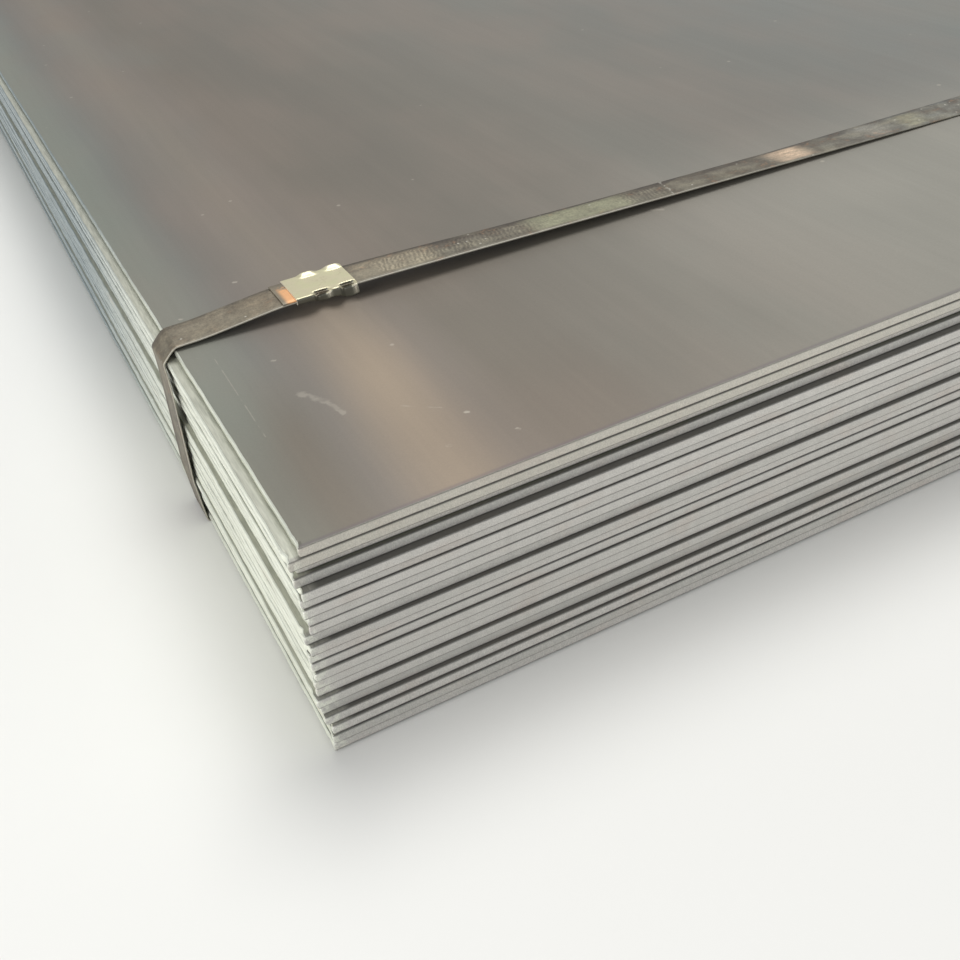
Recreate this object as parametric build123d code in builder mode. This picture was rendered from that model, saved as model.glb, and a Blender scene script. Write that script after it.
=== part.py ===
"""A strapped bundle of hot-rolled steel plates.

Twenty-two like plates lie flat on each other, each a little off its neighbours as a crane
leaves them. Three steel straps go round the stack from side to side, and each is closed by
a crimped seal near the left edge.

The frame: X across the plates, Y along them, Z up. The origin is under the middle of the
bundle, at the level of the straps' undersides, on which it rests.
"""
import os
from math import cos, radians, sin

from build123d import *

# Plates: size, the rounding of their rolled sides and the small round of their sheared ends
plate_width = 1500.0
plate_length = 3000.0
plate_thick = 6.0
mill_edge_radius = 2.0
sheared_end_round = 0.5

# How far each plate lies off the middle of the bundle, the top plate first
lays_across = [6.0, -1.0, 2.5, 0.0, 1.0, 0.0, 0.0, 1.5, 1.0, -2.5, -2.5,
               -3.0, -3.0, -3.5, -4.0, -4.0, -6.0, -4.5, -5.0, -2.0, -3.0, -4.5]
lays_along = [2.5, 2.0, 6.5, 3.5, -1.5, 1.0, 0.0, 1.0, 1.0, 2.0, -1.0,
              1.0, 0.5, -1.0, 0.0, 1.0, -1.5, -0.5, -3.5, -5.5, -6.5, -5.5]

# Straps: the band, how far each end one lies from the plates' ends, and how askew each is
strap_width = 32.0
strap_thick = 1.0
strap_inset = 220.0
strap_skews = {"front": -2.7, "middle": 0.0, "rear": 0.0}
strap_clearance = 0.1

# The slack of a strap over the top plate: it stands clear under its seal and lies down again
seal_lift = 8.0
strap_landing = 620.0
strap_tail = 9.0

# Seals: a folded sleeve of sheet steel, crimped by two notches on each side
seal_length = 42.0
seal_thick = 1.2
seal_from_edge = 105.0
seal_side_clearance = 0.3
seal_fold_radius = 1.4
notch_radius = 3.0
notch_spacing = 18.0
notch_offset = 6.0
notch_depth = 2.0
notch_height = 8.0

# Tongues: what each notch cuts free, bent up on the rear side of a seal and down on its front side
tongue_width = 9.0
tongue_height = 2.6
tongue_round = 2.0
tongue_setback = 0.4

# What follows from them
plate_count = len(lays_across)
stack_top = strap_thick + strap_clearance + plate_count * plate_thick
lap_height = stack_top + strap_clearance + seal_lift + strap_thick
top_left = lays_across[0] - plate_width / 2
seal_centre = top_left + seal_from_edge
notch_centre = seal_centre + notch_offset
strap_stations = {
    "front": strap_inset - plate_length / 2,
    "middle": 0.0,
    "rear": plate_length / 2 - strap_inset,
}


def plate_floor(index):
    """The height of the underside of a plate, counted from the top of the stack."""
    return stack_top - (index + 1) * plate_thick


def turn(a, b, c):
    """Positive where the way from a by b to c turns left."""
    return (b[0] - a[0]) * (c[1] - a[1]) - (b[1] - a[1]) * (c[0] - a[0])


def tight_loop(points):
    """The convex loop round (x, z) points, anticlockwise."""
    loop = []
    ordered = sorted(set(points))
    for way in (ordered, ordered[::-1]):
        side = []
        for point in way:
            while len(side) > 1 and turn(side[-2], side[-1], point) <= 0:
                side.pop()
            side.append(point)
        loop += side[:-1]
    return loop


def edge_centres():
    """The centres of the rounds on all four long edges of every plate, as (x, z)."""
    reach = plate_width / 2 - mill_edge_radius
    centres = []
    for index, lay in enumerate(lays_across):
        low = plate_floor(index) + mill_edge_radius
        high = plate_floor(index) + plate_thick - mill_edge_radius
        centres += [(lay + side * reach, z) for side in (-1, 1) for z in (low, high)]
    return centres


def strap_route(skew):
    """The loop of a strap in its own plane, through the centres of the plates' outermost rounds.

    It runs down the left side, under the stack, up the right side and along the top plate.
    Over the seal it stands seal_lift clear of the plate, with two arcs on each side of the
    seal to raise it from the plate and lay it down again at the left edge.
    """
    def flat(x, z):
        return (x / cos(radians(skew)), z)

    loop = tight_loop(edge_centres())
    first = loop.index((top_left + mill_edge_radius, stack_top - mill_edge_radius))
    sides = [flat(x, z) for x, z in loop[first:] + loop[:first]]
    ground = stack_top - mill_edge_radius
    lifted = ground + seal_lift
    landing = flat(top_left + strap_landing, ground)
    seal_right = flat(seal_centre + seal_length / 2, lifted)
    tail_end = flat(seal_centre - seal_length / 2 - strap_tail, lifted)
    return sides, landing, seal_right, tail_end


def halfway(a, b):
    """The point midway between two points of a sketch, where the arcs of a rise meet."""
    return ((a[0] + b[0]) / 2, (a[1] + b[1]) / 2)


def slanted_plane(station, skew):
    """The upright plane of a strap, through the near edge of its band."""
    along = Vector(cos(radians(skew)), sin(radians(skew)), 0)
    near = station - strap_width / cos(radians(skew)) / 2
    return Plane(origin=(0, near, 0), x_dir=along, z_dir=along.cross(Vector(0, 0, 1)))


def notch_places(station, skew):
    """The four places on a strap's edges, over the seal, where its crimps bite."""
    along = Vector(cos(radians(skew)), sin(radians(skew)), 0)
    edge = strap_width / 2 - notch_depth + notch_radius
    centre = Vector(0, station, lap_height) + along * (notch_centre / cos(radians(skew)))
    return [
        centre + along * (end * notch_spacing / 2) + Vector(0, side * edge / cos(radians(skew)), 0)
        for end in (-1, 1)
        for side in (-1, 1)
    ]


def tongue_planes(station, skew):
    """The upright planes of a seal's four tongues, each from the middle of the wall it is bent from."""
    along = Vector(cos(radians(skew)), sin(radians(skew)), 0)
    across = along.cross(Vector(0, 0, 1))
    edge = strap_width / 2 - notch_depth - tongue_setback - seal_thick / 2
    reach = edge / cos(radians(skew))
    wall = strap_thick + seal_thick / 2
    centre = Vector(0, station, lap_height) + along * (notch_centre / cos(radians(skew)))
    return [
        Plane(
            origin=centre + along * (end * notch_spacing / 2) + Vector(0, side * reach, side * wall),
            x_dir=along * side,
            z_dir=across,
        )
        for end in (-1, 1)
        for side in (-1, 1)
    ]


def make_plate(index):
    """One plate: a rolled section with round sides, its two sheared ends broken a little."""
    centre = (lays_across[index], plate_floor(index) + plate_thick / 2)
    front = lays_along[index] - plate_length / 2
    with BuildPart() as plate:
        with BuildSketch(Plane.XZ.offset(-front)):
            with Locations(centre):
                RectangleRounded(plate_width, plate_thick, mill_edge_radius)
        extrude(amount=-plate_length)
        ends = plate.faces().sort_by(Axis.Y)
        fillet(ends[0].edges() + ends[-1].edges(), radius=sheared_end_round)
    return plate


def make_strap(station, skew):
    """One strap: a closed band round the stack, its ends lapped and notched at the seal."""
    sides, landing, seal_right, tail_end = strap_route(skew)
    along_y = strap_width / cos(radians(skew))
    with BuildPart() as strap:
        with BuildSketch(slanted_plane(station, skew)):
            with BuildLine():
                Polyline(*sides)
                Line(sides[-1], landing)
                rise = TangentArc(landing, halfway(landing, seal_right), tangent=(-1, 0))
                TangentArc(rise @ 1, seal_right, tangent=rise % 1)
                Line(seal_right, tail_end)
                fall = TangentArc(tail_end, halfway(tail_end, sides[0]), tangent=(-1, 0))
                TangentArc(fall @ 1, sides[0], tangent=fall % 1)
            route = make_face()
            inner = mill_edge_radius + strap_clearance
            offset(route, amount=inner + strap_thick, kind=Kind.ARC)
            with Locations(((tail_end[0] + seal_right[0]) / 2, lap_height)):
                Rectangle(seal_right[0] - tail_end[0], strap_thick, align=(Align.CENTER, Align.MIN))
            offset(route, amount=inner, kind=Kind.ARC, mode=Mode.SUBTRACT)
        extrude(amount=along_y, dir=(0, 1, 0))
        with Locations(*notch_places(station, skew)):
            Cylinder(notch_radius, notch_height, mode=Mode.SUBTRACT)
    return strap


def make_seal(station, skew):
    """One seal: a sleeve folded round both layers of the strap, with its notches and tongues."""
    along = Vector(cos(radians(skew)), sin(radians(skew)), 0)
    start = along * ((seal_centre - seal_length / 2) / cos(radians(skew))) + Vector(0, station, 0)
    inner_width = strap_width / cos(radians(skew)) + 2 * seal_side_clearance
    inner_height = 2 * strap_thick
    section = Plane(origin=(start.X, start.Y, lap_height), x_dir=(0, 1, 0), z_dir=(1, 0, 0))
    with BuildPart() as seal:
        with BuildSketch(section):
            RectangleRounded(
                inner_width + 2 * seal_thick, inner_height + 2 * seal_thick, seal_fold_radius
            )
            Rectangle(inner_width, inner_height, mode=Mode.SUBTRACT)
        extrude(amount=seal_length, dir=along)
        with Locations(*notch_places(station, skew)):
            Cylinder(notch_radius, notch_height, mode=Mode.SUBTRACT)
        with BuildSketch(*tongue_planes(station, skew)):
            height = seal_thick / 2 + tongue_height
            Rectangle(tongue_width, height, align=(Align.CENTER, Align.MIN))
            fillet(vertices().group_by(Axis.Y)[-1], radius=tongue_round)
        extrude(amount=seal_thick / 2, both=True)
    return seal


os.makedirs("parts", exist_ok=True)

for index in range(plate_count):
    plate = make_plate(index)
    plate.part.label = f"plate_{index + 1:02d}"
    export_step(plate.part, f"parts/{plate.part.label}.step")

for place, station in strap_stations.items():
    strap = make_strap(station, strap_skews[place])
    strap.part.label = f"strap_{place}"
    export_step(strap.part, f"parts/{strap.part.label}.step")

    seal = make_seal(station, strap_skews[place])
    seal.part.label = f"seal_{place}"
    export_step(seal.part, f"parts/{seal.part.label}.step")
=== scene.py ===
"""A strapped bundle of hot-rolled steel plates, with the finish of each of its surfaces.

The plates get uneven rolled edges, sheared ends and mill scale with heat tints. The straps
are worked bands that rise to their seals, and each seal is a folded and crimped sleeve.
Sizes are in metres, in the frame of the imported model: X across the plates, Y along them.
"""
from math import cos, pi, radians, tan

import bpy
import numpy as np
from mathutils import Matrix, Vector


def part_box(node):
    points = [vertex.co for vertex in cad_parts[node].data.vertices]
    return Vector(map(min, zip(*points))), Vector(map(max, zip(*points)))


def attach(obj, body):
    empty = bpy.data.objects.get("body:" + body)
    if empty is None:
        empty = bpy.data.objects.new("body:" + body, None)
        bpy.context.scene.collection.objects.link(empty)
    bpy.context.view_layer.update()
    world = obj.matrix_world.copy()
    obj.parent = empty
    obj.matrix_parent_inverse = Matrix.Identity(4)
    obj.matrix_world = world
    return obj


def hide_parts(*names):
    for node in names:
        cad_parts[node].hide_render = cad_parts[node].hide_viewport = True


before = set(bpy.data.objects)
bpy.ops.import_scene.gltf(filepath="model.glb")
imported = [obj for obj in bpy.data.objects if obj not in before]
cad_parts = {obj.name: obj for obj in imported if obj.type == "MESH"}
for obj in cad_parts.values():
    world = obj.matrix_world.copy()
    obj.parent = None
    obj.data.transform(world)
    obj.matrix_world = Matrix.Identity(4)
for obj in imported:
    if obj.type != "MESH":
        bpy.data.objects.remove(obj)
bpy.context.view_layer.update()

MM = 0.001

# Plates: their names from the top of the stack down, and the form of their edges and ends
PLATES = [f"plate_{number:02d}" for number in range(1, 23)]
CORNER_RADIUS = 2.0 * MM
EDGE_DEPTH = 1.7 * MM
EDGE_FULLNESS = 2.4
EDGE_SWAY = 0.9 * MM
END_ROUND = 0.7 * MM
SHEAR_SPREAD = 0.8 * MM
SHEAR_REACH = 5.0 * MM
LIP_REACH = 10.0 * MM
LIP_SWAY = 1.1 * MM
LIP_BEND = 0.9 * MM
EDGE_RAG = 0.27 * MM

# Straps: the band, where its top run leaves the plate, and how askew each one lies
STRAP_WIDTH = 32.0 * MM
STRAP_THICK = 1.0 * MM
STRAP_CLEARANCE = 0.1 * MM
STRAP_LANDING = 620.0 * MM
STRAP_TAIL = 9.0 * MM
STRAP_SKEWS = {"front": -2.7, "middle": 0.0, "rear": 0.0}
SEAL_LIFT = 8.0 * MM
CORNER_BULGE = 1.3 * MM
BULGE_REACH = 13.0 * MM

# Seals: the folded sheet and its crimps
SEAL_LENGTH = 42.0 * MM
SEAL_FROM_EDGE = 105.0 * MM
SEAL_SHEET = 1.2 * MM
SEAL_SIDE_GAP = 0.3 * MM
CRIMP_SPACING = 18.0 * MM
CRIMP_OFFSET = 6.0 * MM
CRIMP_HALF = 4.6 * MM
CRIMP_DEPTH = 2.6 * MM
TONGUE_HALF = 5.6 * MM
TONGUE_REACH = 6.0 * MM
TONGUE_LIFT = 1.9 * MM
TONGUE_DRAW = 0.6 * MM
SCOOP_HALF = 5.0 * MM
SCOOP_REACH = 4.5 * MM
SCOOP_DROP = 3.0 * MM
SCOOP_DRAW = 3.6 * MM
FLARE_LENGTH = 18.0 * MM
FLARE_DROP = 3.4 * MM
FLARE_OUT = 0.8 * MM
SLEEVE_ROUND = 1.0 * MM
SLIT = 1.6 * MM
RIPPLE = 0.15 * MM
SHARP_ANGLE = 50.0
SEAL_STATIONS = 85
CORNER_POINTS = 6
TOP_POINTS = 41
UNDER_POINTS = 13

# The band's section as (across, up) in halves of its width and thickness, and its unevenness
BAND_SECTION = np.array([
    (-1.0, -0.5), (-1.0, 0.5), (-0.985, 1.0), (-0.75, 1.0), (-0.5, 1.0), (-0.25, 1.0), (0.0, 1.0),
    (0.25, 1.0), (0.5, 1.0), (0.75, 1.0), (0.985, 1.0), (1.0, 0.5), (1.0, -0.5), (0.985, -1.0),
    (0.5, -1.0), (0.0, -1.0), (-0.5, -1.0), (-0.985, -1.0)])
STRAP_STEP = 4.0 * MM
RISE_EASE = 0.05
CROWN = 0.25 * MM
DENT = 0.5 * MM
EDGE_WANDER = 0.15 * MM
ROLL_DROP = 2.8 * MM
ROLL_PLACE = -0.36
ROLL_REACH = 0.20
ARC_STEP = 10.0

# The waves of the uneven lines: the longest, the shortest and, where it isn't nine, how many
RAG_WAVES = (0.05, 0.006)
TEAR_WAVES = (0.022, 0.008, 3)
BEND_WAVES = (0.03, 0.006, 4)
WANDER_WAVES = (0.3, 0.012)
DENT_WAVES = (0.2, 0.02)
RIPPLE_WAVES = (0.02, 0.005)

# The seeds of the uneven lines, one for each plate, one for each strap and one for the seals
PLATE_SEEDS = range(1, 441, 20)
STRAP_SEEDS = range(500, 530, 10)
RIPPLE_SEED = 77

# How finely a plate is divided: stations along it, points round an edge, columns across a face
LIP_STRETCH = 0.022
LIP_STATIONS = 40
FINE_STRETCH = 0.7
FINE_STATIONS = 150
COARSE_STATIONS = 110
EDGE_POINTS = 9
END_STEPS = 3
FACE_COLUMNS = np.array([0.0, 0.01, 0.1, 0.3, 0.5, 0.7, 0.9, 0.99, 1.0])
MILL_SCALE, ROLLED_EDGE, SHEARED_END = 0, 1, 2
STACK_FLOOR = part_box(PLATES[-1])[0][2]
STACK_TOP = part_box(PLATES[0])[1][2]
PLATE_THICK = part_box(PLATES[0])[1][2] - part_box(PLATES[0])[0][2]
LAP_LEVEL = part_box("strap_front")[1][2] - STRAP_THICK

# Colours of the mill scale, by the distance across the plate from its middle in metres
HEAT_TINTS = [
    (-0.750, (129, 132, 121)), (-0.728, (125, 128, 118)), (-0.708, (118, 118, 111)),
    (-0.690, (118, 112, 104)), (-0.668, (125, 117, 107)), (-0.648, (128, 119, 107)),
    (-0.625, (121, 113, 103)), (-0.590, (112, 105, 94)), (-0.520, (110, 104, 94)),
    (-0.440, (113, 108, 98)), (-0.340, (117, 113, 104)), (-0.220, (117, 114, 106)),
    (-0.080, (118, 118, 112)), (0.100, (124, 126, 121)), (0.400, (122, 120, 114)),
    (0.620, (122, 116, 107)), (0.690, (113, 110, 105)), (0.750, (127, 130, 120)),
]
TINT_SWAY = 0.05

# Tints laid over the scale, each as its colour, 0 to 255, and its greatest share
SCALE_WARM = ((124, 111, 101), 0.35)
SCALE_COOL = ((120, 123, 115), 0.3)
SCALE_SCUFF = ((178, 171, 157), 1.0)
# Darker, greener scale for the plates below the top one: painted shade for their ledges under the
# plates above
SCALE_BURIED_SHADE = ((104, 107, 94), 0.85)
LIP_PURPLE = ((92, 82, 90), 0.4)

# Tinted patches of the scale: across from and to, nearest and farthest, and the tint
TINT_PATCHES = [
    ((-0.690, -0.610), (-1.38, -1.20), ((156, 139, 118), 0.65)),
    ((-0.735, -0.685), (-1.42, -1.30), ((110, 97, 82), 0.6)),
    ((-0.800, -0.670), (-1.47, -1.28), ((106, 99, 88), 0.6)),
    # Painted sheen: lightens the scale across the front
    ((-0.600, 0.300), (-1.36, -1.16), ((142, 139, 129), 1.0)),
    ((-0.780, -0.420), (-1.47, -1.36), ((100, 88, 76), 0.35)),
]

# Scratches on the top plate, in millimetres: start, end and width, and how pale each one is
SCRATCHES = [
    ((-694, -1360), (-684, -1378), 3.2, 0.3),
    ((-684, -1376), (-680, -1396), 2.4, 0.3),
    ((-650, -1409), (-632, -1425), 0.7, 0.3),
    ((-724.5, -1287), (-725.5, -1392), 0.45, 0.3),
    ((-396, -1279), (-390, -1284), 2.0, 0.3),
]

# Nicks on the top plate: where they lie, and the run, width and paleness of each
NICKS = [(-682, -1188), (-729, -1218), (-695, -1312), (-623, -1437), (-608, -1469), (-646, -1461),
         (-423, -1256)]
NICK_RUN = (1.5, -1.0)
NICK_WIDTH = 1.6
NICK_PALENESS = 0.6
SCRATCHES += [((x, y), (x + NICK_RUN[0], y + NICK_RUN[1]), NICK_WIDTH, NICK_PALENESS) for x, y in NICKS]
CHIP_PALENESS = 0.45

# Colours of the rolled edges and the sheared ends, and two factors that darken the edges
EDGE_CREAM = (234, 236, 222)
# Bluish grey for the back of the edges, made darker as painted shade
EDGE_BLUISH_SHADE = (152, 164, 166)
END_GREY_DARK = (192, 190, 184)
END_GREY_LIGHT = (209, 206, 200)
EDGE_DULL = (0.90, 0.90, 0.89)
EDGE_SCORE = (0.55, 0.55, 0.53)
SCORE_SHARE = 0.42

# Tints laid over the edges and ends
EDGE_LEDGE = ((186, 186, 172), 1.0)
EDGE_BRIGHT = ((242, 244, 236), 0.3)
EDGE_CHIP = ((242, 244, 236), 1.0)
EDGE_STAIN = ((214, 192, 166), 0.35)
CORNER_CREAM = (EDGE_CREAM, 0.7)
END_CREAM = ((214, 207, 189), 0.4)
END_PINK = ((200, 184, 172), 0.25)
END_SPOT = ((236, 231, 220), 0.35)

# Where the plates' finishes begin and where they are full: how far from the middle, how far
# along, at which plate counted from the lowest, and how far behind the front ends
LEDGE_ACROSS = (0.738, 0.744)
CORNER_ACROSS = (0.742, 0.749)
# The painted shade that darkens the sheared ends towards both sides begins and is full at these
# distances from the middle
END_SHADE_ACROSS = (0.40, 0.72)
# Along here the edges turn bluish and darker, the darkening painted shade
BLUISH_SHADE_ALONG = (-1.30, -0.85)
CREAM_LEVELS = (18.6, 20.4)
LIP_TINT = (4.0 * MM, 1.5 * MM)
BURIED_DEPTH = 1.0 * MM
SCALE_FACING = (0.93, 0.998)

# The strap across its width, from its near margin to its far one
STRAP_MARGINS = [
    (-0.0160, (96, 92, 80)), (-0.0120, (102, 97, 84)), (-0.0050, (116, 110, 95)),
    (0.0060, (112, 105, 91)), (0.0095, (80, 72, 61)), (0.0160, (68, 61, 52)),
]

# Tints laid over the straps, and the patches of the front one: along from and to, and the tint
STRAP_GREY = ((116, 118, 113), 0.75)
STRAP_DUST = ((136, 129, 110), 0.45)
STRAP_DIRT = ((70, 61, 51), 0.6)
STRAP_RUST = ((158, 118, 86), 0.5)
STRAP_SOIL = ((126, 117, 100), 1.0)
# Pale wear, and the painted highlight along the near rim of the strap
STRAP_WEAR_AND_HIGHLIGHT = ((196, 192, 180), 1.0)
TAIL_SOIL = ((126, 117, 100), 0.6)
TAIL_ORANGE = ((214, 162, 114), 0.95)
STRAP_PATCHES = [
    ((-0.735, -0.705), ((160, 148, 126), 0.20)),
    ((-0.690, -0.674), ((158, 138, 110), 0.20)),
    ((-0.612, -0.560), ((164, 152, 128), 0.45)),
    ((-0.479, -0.409), ((150, 150, 122), 0.65)),
    ((-0.276, -0.256), ((196, 172, 146), 0.95)),
    ((-0.196, -0.182), ((166, 162, 150), 0.4)),
    ((-0.160, -0.146), ((164, 160, 132), 0.45)),
]

# Where the straps' finishes begin and where they are full, along and across the band
GREY_ALONG = (-0.35, -0.05)
SOIL_RIGHT = (-0.60, -0.66)
SOIL_LEFT = (-0.80, -0.76)
TAIL_RIGHT = (-0.651, -0.655)
TAIL_LEFT = (-0.668, -0.664)
TAIL_FAR = (0.021, 0.012)
PATCH_BORDER = (0.012, 0.006)
PATCH_MARGIN = (0.015, 0.010)
# Where the painted highlight along the strap's near rim begins and is full
RIM_ALONG = (0.0, -0.5)
RIM_MARGIN = (-0.0148, -0.0156)

# The straps' ribs and the scratch across one of them
RIBBED_STRETCHES = [(-0.60, -0.48), (-0.41, -0.372)]
RIB_BORDER = (0.01, 0.01)
RIB_MARGIN = (0.0115, 0.009)
RIB_PITCH = 3.2 * MM
RIB_SLANT = -0.26
RIB_WOBBLE = 0.006
CROSS_SCRATCH = -0.369
CROSS_WIDTH = (1.1 * MM, 0.3 * MM)

# How pale the strap's scratch, chips and painted rim highlight are, and how the soil and patches thin
# out
CROSS_PALENESS = 0.7
WORN_PALENESS = 0.7
RIM_HIGHLIGHT = 0.55
SOIL_SHARES = (0.5, 0.3)
PATCH_SHARES = (1.4, 0.2)
TAIL_FRAY = 0.02

# The seals: their two colours, the tints laid over them, and where those begin and are full
SEAL_CREAM = (199, 191, 160)
SEAL_GREEN = (190, 186, 151)
SEAL_DIRT = ((150, 136, 104), 0.3)
SEAL_SHADE = ((84, 84, 78), 1.0)
# A painted highlight for the rims at the seal's ends and for its tongues
SEAL_HIGHLIGHT = ((238, 228, 212), 0.85)
SHADE_FACING = (-0.3, -0.7)
SHADE_BELOW = (LAP_LEVEL - 1.0 * MM, LAP_LEVEL - 3.0 * MM)
FRONT_SHADE, UNDER_SHADE = 0.9, 0.6
# Where the painted highlight lies: on faces that face along the seal, and on the tongues
RIM_FACING = (0.7, 0.9)
TONGUE_HIGHLIGHT_LEVELS = (0.2, 0.75)
TONGUE_HIGHLIGHT_SHARE = 0.2

# Grains: how many cells to a metre, the detail and, where there is one, the stretch by axis
TINT_SWAYS = (2.2, 2.0, (0.6, 1.0, 0.0))
SCALE_GRAIN = (1100.0, 2.0)
SCALE_GLOSS = (700.0, 2.0)
SCALE_PITS = (900.0, 3.0)
SCRATCH_GRAIN = (350.0, 2.0)
LEDGE_GRAIN = (900.0, 4.0, (1.0, 0.07, 1.0))
TORN_GRAIN = (1900.0, 3.0, (1.0, 1.0, 0.6))
SHEAR_RUNS = (210.0, 2.0, (1.0, 1.0, 0.08))
STRAP_MOTTLE = (90.0, 4.0, (0.4, 1.0, 1.0))
STRAP_FRAY = (260.0, 3.0)
STRAP_SMEAR = (240.0, 3.0, (0.3, 1.0, 1.0))
STRAP_GRAIN = (700.0, 3.0)
RIB_WOBBLES = (140.0, 2.0)
SEAL_MOTTLE = (120.0, 3.0)
SEAL_GRAIN = (1500.0, 3.0)

# Patches: a grain, and the levels of it where they begin and where they are full
SCALE_BLOTCHES = ((9.0, 3.0, (1.0, 0.45, 0.0)), (0.35, 0.7))
SCALE_CLOUDS = ((5.0, 3.0, (1.3, 0.5, 1.0)), (0.5, 0.8))
SCRATCH_BREAKS = ((130.0, 2.0), (0.35, 0.6))
EDGE_STAINS = ((24.0, 3.0, (1.0, 0.4, 2.0)), (0.62, 0.78))
CORNER_STAINS = ((240.0, 3.0), (0.35, 0.6))
PINK_STAINS = ((28.0, 3.0, (1.0, 1.0, 2.0)), (0.5, 0.7))
SOIL_SPOTS = ((110.0, 4.0), (0.45, 0.66))

# Levels of a grain at which a finish begins and is full
DULL_LEVELS = (0.42, 0.65)
SCORE_LEVELS = (0.52, 0.70)
BRIGHT_LEVELS = (0.42, 0.3)
DIRT_LEVELS = (0.35, 0.65)
RUST_LEVELS = (0.52, 0.72)
RUST_BREAKS = (0.45, 0.65)
DUST_LEVELS = (0.4, 0.7)
RIB_BREAKS = (0.3, 0.6)
CROSS_BREAKS = (0.35, 0.6)
GREEN_LEVELS = (0.35, 0.7)
CHIP_CORE = (0.16, 0.08)
SCRATCH_FADE = (0.4, 1.0)

# Chips by cells to a metre and the share that show, and streaks by cells and how long they draw
SCALE_CHIPS = {"Scale": 75.0, "Share": 0.03}
EDGE_CHIPS = {"Scale": 200.0, "Share": 0.06}
END_CHIPS = {"Scale": 240.0, "Share": 0.12}
STRAP_CHIPS = {"Scale": 160.0, "Share": 0.16}
SCALE_STREAKS = {"Scale": 260.0, "Draw": 0.035}
EDGE_STREAKS = {"Scale": 900.0, "Draw": 0.07}
BROAD_STREAKS = 0.22
STRAP_DIRT_CELLS = 60.0
SEAL_DIRT_CELLS = 150.0
RUST_FINENESS = 3.7
FINE_DETAIL, BROAD_DETAIL, DIRT_DETAIL = 4.0, 3.0, 4.0

# How much each grain lightens and darkens its finish, or how much it adds to what is least
STREAK_CONTRAST = 0.10
BROAD_CONTRAST = 0.12
SCALE_CONTRAST = 0.14
RUN_CONTRAST = 0.16
FRAY_CONTRAST = 0.8
RIB_CONTRAST = 0.28
STRAP_CONTRAST = 1.0
SEAL_CONTRAST = 0.12
LEDGE_SHARES = (1.2, 0.2)
TORN_LIGHT = (0.8, 0.52)
JOINT_LIGHT = (0.62, 0.38)
# How far the painted shade darkens the sheared ends towards the sides
END_SHADE_LIGHT = (-0.11, 1.0)
JOINT_FACE = (0.12, 0.91, 0.07, 0.07)

# Roughness, as what its grain adds and what is least, and relief
SCALE_ROUGHNESS = (0.08, 0.36)
SCALE_GLOSS_REACH = 0.12
EDGE_ROUGHNESS = (0.3, 0.24)
END_ROUGHNESS = (0.25, 0.42)
STRAP_ROUGHNESS = (0.25, 0.42)
SEAL_ROUGHNESS = (0.2, 0.28)
SCALE_RELIEF = 0.03 * MM
EDGE_RELIEF = 0.25 * MM
END_RELIEF = 0.12 * MM
STRAP_RELIEF = 0.22 * MM
SEAL_RELIEF = 0.12 * MM
FINE_HEIGHT, BROAD_HEIGHT = 0.7, 0.8
RIB_HEIGHT, FRAY_HEIGHT = 0.5, 0.8
SEAL_GRAIN_HEIGHT = 0.3

# What the node groups' sockets hold, where it isn't a number
SOCKET_KINDS = {"Place": "Vector", "Start": "Vector", "End": "Vector", "Colour": "Color"}

# How much each finish is metal
SCALE_METALLIC = 0.45
EDGE_METALLIC = 0.7
END_METALLIC = 0.4
STRAP_METALLIC = 0.45
SEAL_METALLIC = 0.5

# The room: floor, light from all round, and lamps as (name, place, aim, size, watts)
FLOOR_PALE = (222, 221, 217)
ROOM_TINT = (235, 238, 240)
ROOM_STRENGTH = 0.50
LAMPS = [
    ("rear_lamp", (1.5, 1.5, 7.0), (-0.2, -0.9, 0.1), (4.5, 4.5), 445.0),
    ("front_lamp", (2.2, -4.4, 1.2), (0.0, -1.5, 0.05), (3.0, 1.2), 30.0),
    ("left_lamp", (-3.8, -2.4, 1.0), (-0.7, -1.3, 0.1), (2.0, 1.6), 92.0),
]
FLOOR_HALF = 9.0
FLOOR_ROUGHNESS = 0.9

# The photograph's view of the bundle
CAMERA_PLACE = (-0.8266, -1.9461, 0.4810)
CAMERA_HEADING = 22.08
CAMERA_PITCH = -35.79
CAMERA_ROLL = 8.0
CAMERA_LENS = 43.95


def srgb(red, green, blue):
    """A colour as it is read off a picture, 0 to 255, turned into linear light."""
    parts = np.array([red, green, blue]) / 255.0
    linear = np.where(parts <= 0.04045, parts / 12.92, ((parts + 0.055) / 1.055) ** 2.4)
    return (*linear.tolist(), 1.0)


def wavy(along, seed, longest=0.9, shortest=0.03, count=9):
    """An uneven line over the places `along`, between about -1 and 1.

    It is a sum of sines. Their lengths go from longest to shortest in equal ratios, their
    heights shrink with the root of their length, and each starts at a random phase.
    """
    random = np.random.default_rng(seed)
    lengths = np.geomspace(longest, shortest, count)
    heights = np.sqrt(lengths / longest)
    phases = random.uniform(0.0, 2.0 * pi, count)
    turns = 2.0 * pi * np.asarray(along)[..., None] / lengths + phases
    return (heights * np.sin(turns)).sum(axis=-1) / heights.sum()


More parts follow.
